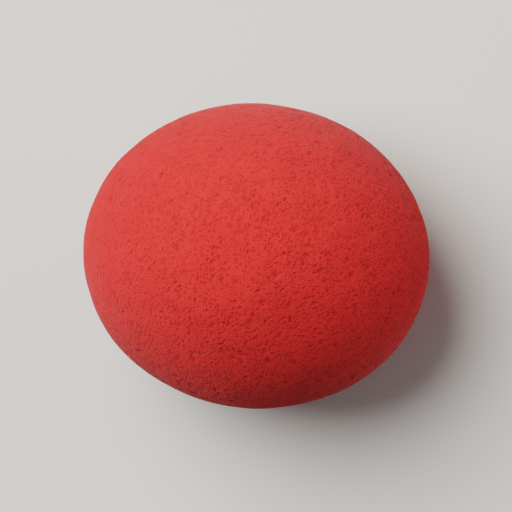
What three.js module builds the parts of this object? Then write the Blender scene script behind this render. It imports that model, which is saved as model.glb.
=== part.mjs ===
// Clown nose: a soft ball of fine open-cell red foam, slit at the back.
// The ball is oval from the front and cut flat at the back. The slit there is shown pushed
// open, as an almond-shaped mouth that leads into a blind socket.
//
// Millimetres, +Z up. The ball rests on its flat back: +Z points out of its front, +X runs from
// side to side and +Y from bottom to top as worn. The origin is the middle of the flat back.
import * as THREE from "three";

// Driving dimensions of the ball.
const BALL_WIDTH = 44; // side to side as worn
const BALL_HEIGHT = 38.5; // bottom to top as worn
const BALL_DEPTH = 35; // from the flat back to the crown of the front
const WIDEST_HEIGHT = 15; // height of the widest section above the flat back
const BACK_DEPTH = 21; // depth below the widest section at which an uncut back would close
const BACK_EDGE_RISE = 5.5; // height of the soft round between the ball's side and its flat back
const BACK_EDGE_RUN = 3; // how far that round runs in over the flat back

// Driving dimensions of the slit and of the socket behind it.
const SLIT_LENGTH = 20; // bottom to top as worn, from point to point
const SLIT_OPENING = 15; // side to side, at the middle
const SOCKET_DEPTH = 18; // from the flat back to the end of the socket
const SOCKET_END_RISE = 7; // height of the socket's rounded end
const SOCKET_TAPER = 0.92; // width at the foot of the rounded end, as a share of the mouth's
const LIP_RUN = 1.2; // length of the soft round at the mouth

// Steps of the faceted surface.
const ROUND_STEPS = 64; // around the ball, a multiple of 4 so that the slit's points are vertices
const CROWN_STEPS = 13;
const BACK_STEPS = 5;
const BACK_EDGE_STEPS = 5;
const LIP_STEPS = 3;
const SOCKET_END_STEPS = 6;

// Finish of the foam: dyed through, matte.
const FOAM_RED = 0xd02f2c;
const FOAM_ROUGHNESS = 0.92;

const QUARTER_TURN = Math.PI / 2;
const MEAN_RADIUS = (BALL_WIDTH + BALL_HEIGHT) / 4;
const MOUTH_RADIUS = (SLIT_OPENING + SLIT_LENGTH) / 4;

// Points of an elliptic arc in the profile plane, where x is the radius and y the height.
function ellipseArc(middleHeight, radius, rise, fromAngle, toAngle, steps) {
  const clockwise = toAngle < fromAngle;
  const arc = new THREE.EllipseCurve(0, middleHeight, radius, rise, fromAngle, toAngle, clockwise);
  return arc.getPoints(steps);
}

// Points of a soft round that starts at one point, heads for the corner and ends at the other.
function softRound(start, corner, end, steps) {
  return new THREE.QuadraticBezierCurve(start, corner, end).getPoints(steps);
}

// Outer profile of the ball, from the crown over the widest section to the rim of the flat back.
function ballProfile() {
  const edgeAngle = Math.asin((WIDEST_HEIGHT - BACK_EDGE_RISE) / BACK_DEPTH);
  const sideSlope = (MEAN_RADIUS / BACK_DEPTH) * Math.tan(edgeAngle);
  const cornerRadius = MEAN_RADIUS * Math.cos(edgeAngle) - sideSlope * BACK_EDGE_RISE;
  const crown = ellipseArc(
    WIDEST_HEIGHT, MEAN_RADIUS, BALL_DEPTH - WIDEST_HEIGHT, QUARTER_TURN, 0, CROWN_STEPS,
  );
  const back = ellipseArc(WIDEST_HEIGHT, MEAN_RADIUS, BACK_DEPTH, 0, -edgeAngle, BACK_STEPS);
  const edge = softRound(
    back.at(-1),
    new THREE.Vector2(cornerRadius, 0),
    new THREE.Vector2(cornerRadius - BACK_EDGE_RUN, 0),
    BACK_EDGE_STEPS,
  );
  return [...crown, ...back.slice(1), ...edge.slice(1)];
}

// Inner profile, from the flat back over the lip of the mouth to the end of the socket.
function socketProfile() {
  const lip = softRound(
    new THREE.Vector2(MOUTH_RADIUS + LIP_RUN, 0),
    new THREE.Vector2(MOUTH_RADIUS, 0),
    new THREE.Vector2(MOUTH_RADIUS, LIP_RUN),
    LIP_STEPS,
  );
  const end = ellipseArc(
    SOCKET_DEPTH - SOCKET_END_RISE,
    MOUTH_RADIUS * SOCKET_TAPER,
    SOCKET_END_RISE,
    0,
    QUARTER_TURN,
    SOCKET_END_STEPS,
  );
  return [...lip, ...end];
}

// The slit pushed open has the outline of two equal arcs that meet in a point at each end.
function slitRadius(angle) {
  const halfOpening = SLIT_OPENING / 2;
  const halfLength = SLIT_LENGTH / 2;
  const arcRadius = (halfOpening ** 2 + halfLength ** 2) / (2 * halfOpening);
  const arcOffset = arcRadius - halfOpening;
  const acrossArc = Math.sqrt(arcRadius ** 2 - (arcOffset * Math.sin(angle)) ** 2);
  return acrossArc - arcOffset * Math.abs(Math.cos(angle));
}

// A point of the turned ball, stretched to the oval that shows from the front.
function ovalPoint(radius, angle) {
  const share = radius / MEAN_RADIUS;
  const x = share * (BALL_WIDTH / 2) * Math.cos(angle);
  const y = share * (BALL_HEIGHT / 2) * Math.sin(angle);
  return new THREE.Vector2(x, y);
}

// A point of the turned socket, drawn out to the almond of the slit.
function slitPoint(radius, angle) {
  const reach = (radius / MOUTH_RADIUS) * slitRadius(angle);
  return new THREE.Vector2(reach * Math.cos(angle), reach * Math.sin(angle));
}

// Turns the two profiles as one surface. The band between them is the flat back.
function foamBallGeometry() {
  const ball = ballProfile();
  const socket = socketProfile();
  const profile = [...ball, ...socket].reverse();
  const turned = new THREE.LatheGeometry(profile, ROUND_STEPS);
  turned.rotateX(QUARTER_TURN);
  turned.deleteAttribute("normal");
  turned.deleteAttribute("uv");
  const position = turned.getAttribute("position");
  for (let i = 0; i < position.count; i++) {
    const step = i % profile.length;
    const angle = Math.atan2(position.getY(i), position.getX(i));
    const isSocket = step < socket.length;
    const placed = isSocket ? slitPoint(profile[step].x, angle) : ovalPoint(profile[step].x, angle);
    position.setXY(i, placed.x, placed.y);
  }
  turned.computeVertexNormals();
  return turned;
}

function foamBall() {
  const foam = new THREE.MeshStandardMaterial({
    color: FOAM_RED,
    roughness: FOAM_ROUGHNESS,
    metalness: 0,
  });
  const mesh = new THREE.Mesh(foamBallGeometry(), foam);
  mesh.name = "foam_ball";
  return mesh;
}

const clownNose = new THREE.Group();
clownNose.add(foamBall());

export default clownNose;
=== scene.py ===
# Clown nose: a ball of fine red open-cell foam, oval from the front, cut flat and slit at the back.
import math
from functools import partial
import bpy
from mathutils import Matrix, Vector


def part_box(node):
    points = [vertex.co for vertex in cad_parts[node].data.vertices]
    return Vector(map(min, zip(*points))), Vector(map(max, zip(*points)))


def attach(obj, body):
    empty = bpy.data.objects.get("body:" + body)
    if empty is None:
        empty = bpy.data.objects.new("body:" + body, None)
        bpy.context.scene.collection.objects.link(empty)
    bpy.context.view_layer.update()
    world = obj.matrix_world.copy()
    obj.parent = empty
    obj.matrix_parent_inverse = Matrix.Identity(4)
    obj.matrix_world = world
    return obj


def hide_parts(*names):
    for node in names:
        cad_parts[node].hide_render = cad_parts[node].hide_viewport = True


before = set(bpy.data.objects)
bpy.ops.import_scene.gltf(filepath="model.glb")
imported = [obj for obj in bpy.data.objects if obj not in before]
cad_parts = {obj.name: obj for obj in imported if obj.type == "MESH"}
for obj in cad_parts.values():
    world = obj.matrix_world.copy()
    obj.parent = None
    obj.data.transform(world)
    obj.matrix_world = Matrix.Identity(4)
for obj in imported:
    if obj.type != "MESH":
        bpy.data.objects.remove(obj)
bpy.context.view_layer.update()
mm = 0.001  # metres
quarterTurn = math.pi / 2
ballLow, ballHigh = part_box("foam_ball")
ballSize = ballHigh - ballLow
print("frame loaded, ball", [round(side / mm, 2) for side in ballSize], "mm")

noiseSpan = (0.3, 0.7)  # nearly all of a noise texture's values lie between these
mixColours = (6, 7, 2)  # places of a Mix node's two colours and of its result
mixVectors = (4, 5, 1)  # the same for vectors


def addNode(tree, kind, inputs=(), out=0, **settings):
    # Adds one node with its settings, fills or links its inputs, by place or by name,
    # and gives back one of its outputs, or the node itself.
    node = tree.nodes.new(kind)
    for name, value in settings.items():
        setattr(node, name, value)
    pairs = inputs.items() if isinstance(inputs, dict) else enumerate(inputs)
    for key, value in pairs:
        if isinstance(value, bpy.types.NodeSocket):
            tree.links.new(value, node.inputs[key])
        else:
            node.inputs[key].default_value = value
    return node if out is None else node.outputs[out]


def linear(code):
    # sRGB hex to linear colour
    shares = [int(code[i : i + 2], 16) / 255 for i in (1, 3, 5)]
    return [c / 12.92 if c <= 0.04045 else ((c + 0.055) / 1.055) ** 2.4 for c in shares] + [1.0]


# Camera: looks down on the front of the ball, which is turned a little to the side and upwards.
camera = {
    "besideFront": 15.0,  # degrees to the side of straight in front
    "belowFront": 5.0,  # degrees below straight in front
    "roll": 5.3,  # degrees, so that the ball's right side sits lower in the picture
    "distance": 1.2,  # metres, a long lens for flat perspective
    "fill": 0.68,  # share of the picture's width that the ball takes
    "sensor": 36.0,  # mm
    "aimHeight": 15.0,  # mm above the floor
}


def makeCamera(spec):
    across = math.sin(math.radians(spec["besideFront"]))
    down = -math.sin(math.radians(spec["belowFront"]))
    back = Vector((across, down, math.sqrt(1 - across**2 - down**2)))
    up = (Vector((0, 1, 0)) - back * back.y).normalized()
    right = up.cross(back)
    axes = Matrix((right, up, back)).transposed()
    axes = Matrix.Rotation(math.radians(spec["roll"]), 3, back) @ axes
    aim = Vector((0, 0, spec["aimHeight"] * mm))
    data = bpy.data.cameras.new("camera")
    data.sensor_width = spec["sensor"]
    data.lens = spec["sensor"] * spec["distance"] * spec["fill"] / ballSize.x
    holder = bpy.data.objects.new("camera", data)
    holder.matrix_world = Matrix.Translation(aim + back * spec["distance"]) @ axes.to_4x4()
    bpy.context.scene.collection.objects.link(holder)
    bpy.context.scene.camera = holder
    return aim, axes


aimPoint, cameraAxes = makeCamera(camera)
print("camera at", [round(c, 3) for c in bpy.context.scene.camera.matrix_world.translation])

# Studio: a large soft key lamp at the upper left of the picture, a weak fill at the right, a dim pale
# room and a pale floor. Metres and watts.
studio = {
    "lamps": {  # from: right, up and towards the camera, as the picture shows it
        "softKey": {"from": (-0.62, 0.47, 0.63), "distance": 0.75, "size": 0.9, "power": 13.9},
        "softFill": {"from": (0.8, 0.3, 0.33), "distance": 0.75, "size": 0.5, "power": 2.45},
    },
    "lampColour": "#fffaf4",
    "roomColour": "#f4f6fa",
    "roomStrength": 0.2,
    "response": "Filmic",  # rolls bright red off to a paler red and deepens the shaded side
    "contrast": "Medium High Contrast",
    "floorSize": 4.0,
    "floorColour": "#bcbcba",
    "floorRoughness": 0.7,
}


def makeStudio(spec):
    world = bpy.data.worlds.new("paleRoom")
    world.use_nodes = True
    background = world.node_tree.nodes["Background"]
    background.inputs["Color"].default_value = linear(spec["roomColour"])
    background.inputs["Strength"].default_value = spec["roomStrength"]
    bpy.context.scene.world = world
    bpy.context.scene.view_settings.view_transform = spec["response"]
    bpy.context.scene.view_settings.look = spec["contrast"]

    for name, lamp in spec["lamps"].items():
        light = bpy.data.lights.new(name, "AREA")
        light.shape = "DISK"
        light.size = lamp["size"]
        light.energy = lamp["power"]
        light.color = linear(spec["lampColour"])[:3]
        holder = bpy.data.objects.new(name, light)
        towards = (cameraAxes @ Vector(lamp["from"])).normalized()
        holder.location = aimPoint + towards * lamp["distance"]
        holder.rotation_euler = towards.to_track_quat("Z", "Y").to_euler()
        holder.visible_camera = False
        bpy.context.scene.collection.objects.link(holder)

    # matte paper sweep: one even pale tone, no gloss
    paper = bpy.data.materials.new("mattePaperSweep")
    paper.use_nodes = True
    shader = paper.node_tree.nodes["Principled BSDF"]
    shader.inputs["Base Color"].default_value = linear(spec["floorColour"])
    shader.inputs["Roughness"].default_value = spec["floorRoughness"]
    half = spec["floorSize"] / 2
    corners = [(-half, -half, 0), (half, -half, 0), (half, half, 0), (-half, half, 0)]
    mesh = bpy.data.meshes.new("floor")
    mesh.from_pydata(corners, [], [(0, 1, 2, 3)])
    mesh.materials.append(paper)
    floor = bpy.data.objects.new("floor", mesh)
    floor.visible_diffuse = False  # throws no light back, which would pale the ball's shaded edge
    bpy.context.scene.collection.objects.link(floor)


makeStudio(studio)
print("studio lit")

# Finish of the foam: fine cells cut open all over, dyed through. Sizes in millimetres.
foamFinish = {
    "body": "#d4322f",
    "pore": "#841f1d",  # painted shade inside the open cells
    # Cells: spacing, least and greatest half width of an opening and softness of its edge as shares of
    # the spacing, depth, and how far painted shade darkens the colour at the bottom. Where the least is
    # below 0, some stay closed. The fine ones are twice the real size, which is too fine to show.
    "cells": [
        {"spacing": 0.38, "opening": (0.25, 0.7), "edge": 0.3, "depth": 0.07, "shade": 0.36},
        {"spacing": 0.72, "opening": (-0.08, 0.47), "edge": 0.2, "depth": 0.09, "shade": 0.3},
    ],
    "porePaintedShade": 0.32,  # the same painted shade for the largest pores, which are in the form
    "fuzzSize": 0.2,  # cut ends of the cell walls
    "fuzzDetail": 1.0,
    "fuzzTone": 0.1,  # share by which they are paler or darker
    "fuzzRise": 0.02,
    "cloudSize": 3.0,  # uneven take-up of the dye
    "cloudTone": 0.07,
    "roughness": 0.9,
    "specular": 0.06,  # nearly none, because the open cells trap the light
    "bloom": 0.08,  # light that the cut wall ends catch at the edges of the ball
    "bloomSpread": 0.5,
    "scatter": 0.15,  # share of the light that goes through the cell walls
    "scatterColour": (1.0, 0.15, 0.12),  # how far each colour travels, as a share of the reach
    "scatterReach": 1.2,
}


def makeFoam(spec):
    # Open-cell polyurethane foam, dyed through and cut: fully matte, a fine speckle of pores darkened by
    # painted shade between paler cell walls, a faint pale bloom at the edges, and no highlight.
    material = bpy.data.materials.new("cutOpenCellPolyurethaneFoam")
    material.use_nodes = True
    tree = material.node_tree
    add = partial(addNode, tree)
    place = add("ShaderNodeTexCoord", out="Object")

    # the cut ends of the walls stand up, and each cell is cut open to its own width, with painted shade
    # in its hollow
    scale = 1 / (spec["fuzzSize"] * mm)
    fuzz = add("ShaderNodeTexNoise", {"Vector": place, "Scale": scale, "Detail": spec["fuzzDetail"]})
    height = add("ShaderNodeMath", [fuzz, spec["fuzzRise"] * mm], operation="MULTIPLY")
    # painted shade in the largest pores, which are pits in the form
    pore = add("ShaderNodeAttribute", out="Fac", attribute_name="poreDepth")
    shade = add("ShaderNodeMath", [pore, spec["porePaintedShade"]], operation="MULTIPLY")
    for cell in spec["cells"]:
        scale = 1 / (cell["spacing"] * mm)
        cells = add("ShaderNodeTexVoronoi", {"Vector": place, "Scale": scale}, out=None, feature="F1")
        chance = add("ShaderNodeSeparateColor", [cells.outputs["Color"]])
        opening = add("ShaderNodeMapRange", [chance, 0.0, 1.0, *cell["opening"]])
        inside = add("ShaderNodeMath", [opening, cells.outputs["Distance"]], operation="SUBTRACT")
        hollow = add("ShaderNodeMapRange", [inside, 0.0, cell["edge"], 0.0, 1.0])
        shade = add(
            "ShaderNodeMath", [hollow, cell["shade"], shade], operation="MULTIPLY_ADD", use_clamp=True
        )
        height = add("ShaderNodeMath", [hollow, -cell["depth"] * mm, height], operation="MULTIPLY_ADD")

    # colour: painted shade in the cells and pores, and slightly uneven over the ball and from wall to
    # wall
    wall, paintedPoreShade, mixed = mixColours
    colour = add(
        "ShaderNodeMix", {"Factor": shade, wall: linear(spec["body"]), paintedPoreShade: linear(spec["pore"])},
        out=mixed, data_type="RGBA",
    )
    cloud = add("ShaderNodeTexNoise", {"Vector": place, "Scale": 1 / (spec["cloudSize"] * mm)})
    for noise, share in ((cloud, spec["cloudTone"]), (fuzz, spec["fuzzTone"])):
        tone = add("ShaderNodeMapRange", [noise, *noiseSpan, 1 - share, 1 + share])
        colour = add("ShaderNodeVectorMath", {0: colour, "Scale": tone}, operation="SCALE")

    bump = add("ShaderNodeBump", {"Height": height, "Distance": 1.0})  # the height is in metres
    shader = tree.nodes["Principled BSDF"]
    tree.links.new(colour, shader.inputs["Base Color"])
    tree.links.new(bump, shader.inputs["Normal"])
    shader.inputs["Roughness"].default_value = spec["roughness"]
    shader.inputs["Specular IOR Level"].default_value = spec["specular"]
    shader.inputs["Sheen Weight"].default_value = spec["bloom"]
    shader.inputs["Sheen Roughness"].default_value = spec["bloomSpread"]
    shader.inputs["Subsurface Weight"].default_value = spec["scatter"]
    shader.inputs["Subsurface Radius"].default_value = spec["scatterColour"]
    shader.inputs["Subsurface Scale"].default_value = spec["scatterReach"] * mm
    return material


foam = makeFoam(foamFinish)
print("foam coloured")

# Foam ball: its outer size comes from the frame, the rest in millimetres.
foamBall = {
    "widestHeight": 15.0,  # height of the widest section above the flat back
    "backDepth": 21.0,  # depth below it at which an uncut back would close
    "backEdgeRise": 5.5,  # soft round between the side and the flat back
    "backEdgeRun": 3.0,
    "slitLength": 20.0,
    "slitOpening": 15.0,  # it stands pushed open
    "socketDepth": 18.0,
    "socketEndRise": 7.0,  # height of its rounded end
    "socketTaper": 0.92,  # width at the foot of that end, as a share of the mouth's
    "lipRun": 1.2,  # soft round at the mouth
    "lumpSize": 9.0,  # low unevenness of the cut ball, with finer unevenness on it
    "lumpHeight": 0.2,  # from the low places to the high ones
    "lumpDetail": 2.0,
    # Pores: spacing, least and greatest half width of an opening and softness of its edge as shares of
    # the spacing, and depth. Where the least is below 0, some places have none.
    "pores": {
        "Large Pore": {"spacing": 1.6, "opening": (-0.1, 0.4), "edge": 0.22, "depth": 0.14},
        "Small Pore": {"spacing": 1.05, "opening": (-0.05, 0.45), "edge": 0.22, "depth": 0.09},
    },
    "profileSteps": {"crown": 96, "back": 24, "backEdge": 24, "lip": 12, "socketEnd": 48},
    "mouthAngle": 140.0,  # degrees from the crown at which the blown-up cube meets the slit's mouth
    "gridSteps": 128,  # cells along each side of that cube
    "seed": 3.0,  # moves the lumps and pores over the ball
}


def ellipseArc(middleHeight, radius, rise, fromAngle, toAngle, steps):
    turns = [fromAngle + (toAngle - fromAngle) * i / steps for i in range(steps + 1)]
    return [Vector((radius * math.cos(a), 0, middleHeight + rise * math.sin(a))) for a in turns]


def softRound(start, corner, end, steps):
    shares = [i / steps for i in range(steps + 1)]
    return [start.lerp(corner, t).lerp(corner.lerp(end, t), t) for t in shares]


def drawProfile(spec):
    # half section from the crown over the rim of the flat back to the end of the socket
    steps = spec["profileSteps"]
    meanRadius = (ballSize.x + ballSize.y) / 4
    mouthRadius = (spec["slitOpening"] + spec["slitLength"]) / 4 * mm
    widest = spec["widestHeight"] * mm
    backDepth = spec["backDepth"] * mm
    edgeRise = spec["backEdgeRise"] * mm
    edgeAngle = math.asin((widest - edgeRise) / backDepth)
    corner = meanRadius * (math.cos(edgeAngle) - math.tan(edgeAngle) * edgeRise / backDepth)
    crown = ellipseArc(widest, meanRadius, ballSize.z - widest, quarterTurn, 0, steps["crown"])
    back = ellipseArc(widest, meanRadius, backDepth, 0, -edgeAngle, steps["back"])
    inward = Vector((corner - spec["backEdgeRun"] * mm, 0, 0))
    edge = softRound(back[-1], Vector((corner, 0, 0)), inward, steps["backEdge"])
    lipRun = spec["lipRun"] * mm
    mouth = Vector((mouthRadius, 0, 0))
    lip = softRound(
        mouth + Vector((lipRun, 0, 0)), mouth, mouth + Vector((0, 0, lipRun)), steps["lip"]
    )
    endRise = spec["socketEndRise"] * mm
    endFoot = spec["socketDepth"] * mm - endRise
    endRadius = mouthRadius * spec["socketTaper"]
    end = ellipseArc(endFoot, endRadius, endRise, 0, quarterTurn, steps["socketEnd"])
    return crown + back[1:] + edge[1:], lip + end


def profileMesh(spec):
    # the profile as a line of edges, and the share of its length that comes before the socket
    ball, socket = drawProfile(spec)
    points = ball + socket
    mesh = bpy.data.meshes.new("ballProfile")
    mesh.from_pydata(points, [(i, i + 1) for i in range(len(points) - 1)], [])
    share = mesh.attributes.new("slitShare", "FLOAT", "POINT")
    share.data.foreach_set("value", [0.0] * len(ball) + [1.0] * len(socket))
    lengths = [(b - a).length for a, b in zip(points, points[1:])]
    return mesh, sum(lengths[: len(ball)]) / sum(lengths)


def ballTree(spec, ballShare, material):
    # turns the profile over a cube blown up to a sphere, so that no pole shows on the crown
    tree = bpy.data.node_groups.new("foamBallForm", "GeometryNodeTree")
    values = {
        "Width": ballSize.x,
        "Height": ballSize.y,
        "Slit Length": spec["slitLength"] * mm,
        "Slit Opening": spec["slitOpening"] * mm,
        "Ball Share": ballShare,
        "Mouth Angle": math.radians(spec["mouthAngle"]),
        "Lump Size": spec["lumpSize"] * mm,
        "Lump Height": spec["lumpHeight"] * mm,
        "Seed": spec["seed"],
    }
    for name, pore in spec["pores"].items():
        values[name + " Spacing"] = pore["spacing"] * mm
        values[name + " Depth"] = pore["depth"] * mm
    tree.interface.new_socket("Profile", in_out="INPUT", socket_type="NodeSocketGeometry")
    settings = {}
    for name, value in values.items():
        socket = tree.interface.new_socket(name, in_out="INPUT", socket_type="NodeSocketFloat")
        settings[socket.identifier] = value
    tree.interface.new_socket("Ball", in_out="OUTPUT", socket_type="NodeSocketGeometry")
    add = partial(addNode, tree)
    given = add("NodeGroupInput", out=None).outputs

    # The cube is a quarter turn wide, so that the tangent of a place on it spreads the points evenly.
    # Each point's direction then gives its heading round the axis and its angle from the crown.
    steps = spec["gridSteps"] + 1
    cube = add(
        "GeometryNodeMeshCube",
        {"Size": (quarterTurn,) * 3, "Vertices X": steps, "Vertices Y": steps, "Vertices Z": steps},
    )
    position = add("GeometryNodeInputPosition")
    spread = add("ShaderNodeVectorMath", [position], operation="TANGENT")
    direction = add("ShaderNodeVectorMath", [spread], operation="NORMALIZE")
    heading = add("ShaderNodeVectorMath", [direction, (1, 1, 0)], operation="MULTIPLY")
    heading = add("ShaderNodeVectorMath", [heading], operation="NORMALIZE")
    upward = add("ShaderNodeSeparateXYZ", [direction], out="Z")
    polar = add("ShaderNodeMath", [upward], operation="ARCCOSINE")

    # that angle's place along the profile, first over the ball and then into the socket
    socketShare = add("ShaderNodeMath", [1.0, given["Ball Share"]], operation="SUBTRACT")
    onBall = add("ShaderNodeMapRange", [polar, 0.0, given["Mouth Angle"], 0.0, given["Ball Share"]])
    inSocket = add("ShaderNodeMapRange", [polar, given["Mouth Angle"], math.pi, 0.0, socketShare])
    along = add("ShaderNodeMath", [onBall, inSocket], operation="ADD")
    curve = add("GeometryNodeMeshToCurve", {"Mesh": given["Profile"]})
    slitShare = add("GeometryNodeInputNamedAttribute", {"Name": "slitShare"}, data_type="FLOAT")
    sample = add(
        "GeometryNodeSampleCurve", {"Curves": curve, "Value": slitShare, "Factor": along},
        out=None, mode="FACTOR", data_type="FLOAT",
    )
    section = add("ShaderNodeSeparateXYZ", [sample.outputs["Position"]], out=None)

    # oval outline, as a share of the profile's radius, which is a quarter of the two sides together
    sides = add("ShaderNodeCombineXYZ", [given["Width"], given["Height"]])
    twoSides = add("ShaderNodeMath", [given["Width"], given["Height"]], operation="ADD")
    perSide = add("ShaderNodeMath", [2.0, twoSides], operation="DIVIDE")
    oval = add("ShaderNodeVectorMath", [heading, sides], operation="MULTIPLY")
    oval = add("ShaderNodeVectorMath", {0: oval, "Scale": perSide}, operation="SCALE")

    # almond outline of the slit: two equal arcs that meet in a point at each end
    halfOpening = add("ShaderNodeMath", [given["Slit Opening"], 2.0], operation="DIVIDE")
    halfLength = add("ShaderNodeMath", [given["Slit Length"], 2.0], operation="DIVIDE")
    openingSquare = add("ShaderNodeMath", [halfOpening, 2.0], operation="POWER")
    squares = add("ShaderNodeMath", [halfLength, halfLength, openingSquare], operation="MULTIPLY_ADD")
    arcRadius = add("ShaderNodeMath", [squares, given["Slit Opening"]], operation="DIVIDE")
    arcOffset = add("ShaderNodeMath", [arcRadius, halfOpening], operation="SUBTRACT")
    turn = add("ShaderNodeSeparateXYZ", [heading], out=None).outputs
    aside = add("ShaderNodeMath", [turn["Y"], arcOffset], operation="MULTIPLY")
    aside = add("ShaderNodeMath", [aside, 2.0], operation="POWER")
    arcSquare = add("ShaderNodeMath", [arcRadius, 2.0], operation="POWER")
    acrossArc = add("ShaderNodeMath", [arcSquare, aside], operation="SUBTRACT")
    acrossArc = add("ShaderNodeMath", [acrossArc], operation="SQRT")
    inset = add("ShaderNodeMath", [turn["X"]], operation="ABSOLUTE")
    inset = add("ShaderNodeMath", [inset, arcOffset], operation="MULTIPLY")
    reach = add("ShaderNodeMath", [acrossArc, inset], operation="SUBTRACT")
    twoHalves = add("ShaderNodeMath", [halfOpening, halfLength], operation="ADD")
    mouthRadius = add("ShaderNodeMath", [twoHalves, 2.0], operation="DIVIDE")
    reach = add("ShaderNodeMath", [reach, mouthRadius], operation="DIVIDE")
    almond = add("ShaderNodeVectorMath", {0: heading, "Scale": reach}, operation="SCALE")

    # the ball takes the oval and the socket the almond
    outer, inner, mixed = mixVectors
    outline = add(
        "ShaderNodeMix", {"Factor": sample.outputs["Value"], outer: oval, inner: almond},
        out=mixed, data_type="VECTOR",
    )
    placed = add("ShaderNodeVectorMath", {0: outline, "Scale": section.outputs["X"]}, operation="SCALE")
    lifted = add("ShaderNodeCombineXYZ", {"Z": section.outputs["Z"]})
    placed = add("ShaderNodeVectorMath", [placed, lifted], operation="ADD")
    ball = add("GeometryNodeSetPosition", {"Geometry": cube, "Position": placed})

    # low lumps, and a pit where the surface cuts a larger cell open, each to its own width
    seeded = add("ShaderNodeVectorMath", [position, given["Seed"]], operation="ADD")
    perLump = add("ShaderNodeMath", [1.0, given["Lump Size"]], operation="DIVIDE")
    lumps = add(
        "ShaderNodeTexNoise", {"Vector": seeded, "Scale": perLump, "Detail": spec["lumpDetail"]}
    )
    highLump = add("ShaderNodeMath", [given["Lump Height"], 2.0], operation="DIVIDE")
    lowLump = add("ShaderNodeMath", [0.0, highLump], operation="SUBTRACT")
    height = add("ShaderNodeMapRange", [lumps, *noiseSpan, lowLump, highLump], clamp=False)
    deepest = 0.0
    for name, pore in spec["pores"].items():
        perPore = add("ShaderNodeMath", [1.0, given[name + " Spacing"]], operation="DIVIDE")
        pores = add("ShaderNodeTexVoronoi", {"Vector": seeded, "Scale": perPore}, out=None, feature="F1")
        chance = add("FunctionNodeSeparateColor", [pores.outputs["Color"]])
        opening = add("ShaderNodeMapRange", [chance, 0.0, 1.0, *pore["opening"]])
        inside = add("ShaderNodeMath", [opening, pores.outputs["Distance"]], operation="SUBTRACT")
        pit = add(
            "ShaderNodeMapRange", [inside, 0.0, pore["edge"], 0.0, 1.0], interpolation_type="SMOOTHSTEP"
        )
        deepest = add("ShaderNodeMath", [pit, deepest], operation="MAXIMUM")
        sunk = add("ShaderNodeMath", [pit, given[name + " Depth"]], operation="MULTIPLY")
        height = add("ShaderNodeMath", [height, sunk], operation="SUBTRACT")
    # the pits' depth, which the foam's colour turns into painted shade
    ball = add(
        "GeometryNodeStoreNamedAttribute", {"Geometry": ball, "Name": "poreDepth", "Value": deepest},
        data_type="FLOAT", domain="POINT",
    )

    # they stand along the normal, and nothing goes below the floor
    normal = add("GeometryNodeInputNormal")
    offset = add("ShaderNodeVectorMath", {0: normal, "Scale": height}, operation="SCALE")
    ball = add("GeometryNodeSetPosition", {"Geometry": ball, "Offset": offset})
    lowest = (-1.0, -1.0, 0.0)  # metres: the floor, and out of reach to the sides
    onFloor = add("ShaderNodeVectorMath", [position, lowest], operation="MAXIMUM")
    ball = add("GeometryNodeSetPosition", {"Geometry": ball, "Position": onFloor})

    ball = add("GeometryNodeSetShadeSmooth", {"Geometry": ball})
    ball = add("GeometryNodeRealizeInstances", {"Geometry": ball})
    ball = add("GeometryNodeSetMaterial", {"Geometry": ball, "Material": material})
    add("NodeGroupOutput", {"Ball": ball}, out=None)
    return tree, settings


def makeBall(spec, material):
    mesh, ballShare = profileMesh(spec)
    tree, settings = ballTree(spec, ballShare, material)
    maker = bpy.data.objects.new("ballMaker", mesh)
    bpy.context.scene.collection.objects.link(maker)
    form = maker.modifiers.new("foamBallForm", "NODES")
    form.node_group = tree
    for identifier, value in settings.items():
        form[identifier] = value
    evaluated = maker.evaluated_get(bpy.context.evaluated_depsgraph_get())
    made = bpy.data.meshes.new_from_object(evaluated)
    maker.modifiers.remove(form)
    bpy.data.objects.remove(maker)
    ball = bpy.data.objects.new("red_foam_ball", made)
    bpy.context.scene.collection.objects.link(ball)
    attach(ball, "root")
    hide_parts("foam_ball")
    return ball


ball = makeBall(foamBall, foam)
ball.data.calc_loop_triangles()
print("foam ball made,", len(ball.data.loop_triangles), "triangles")
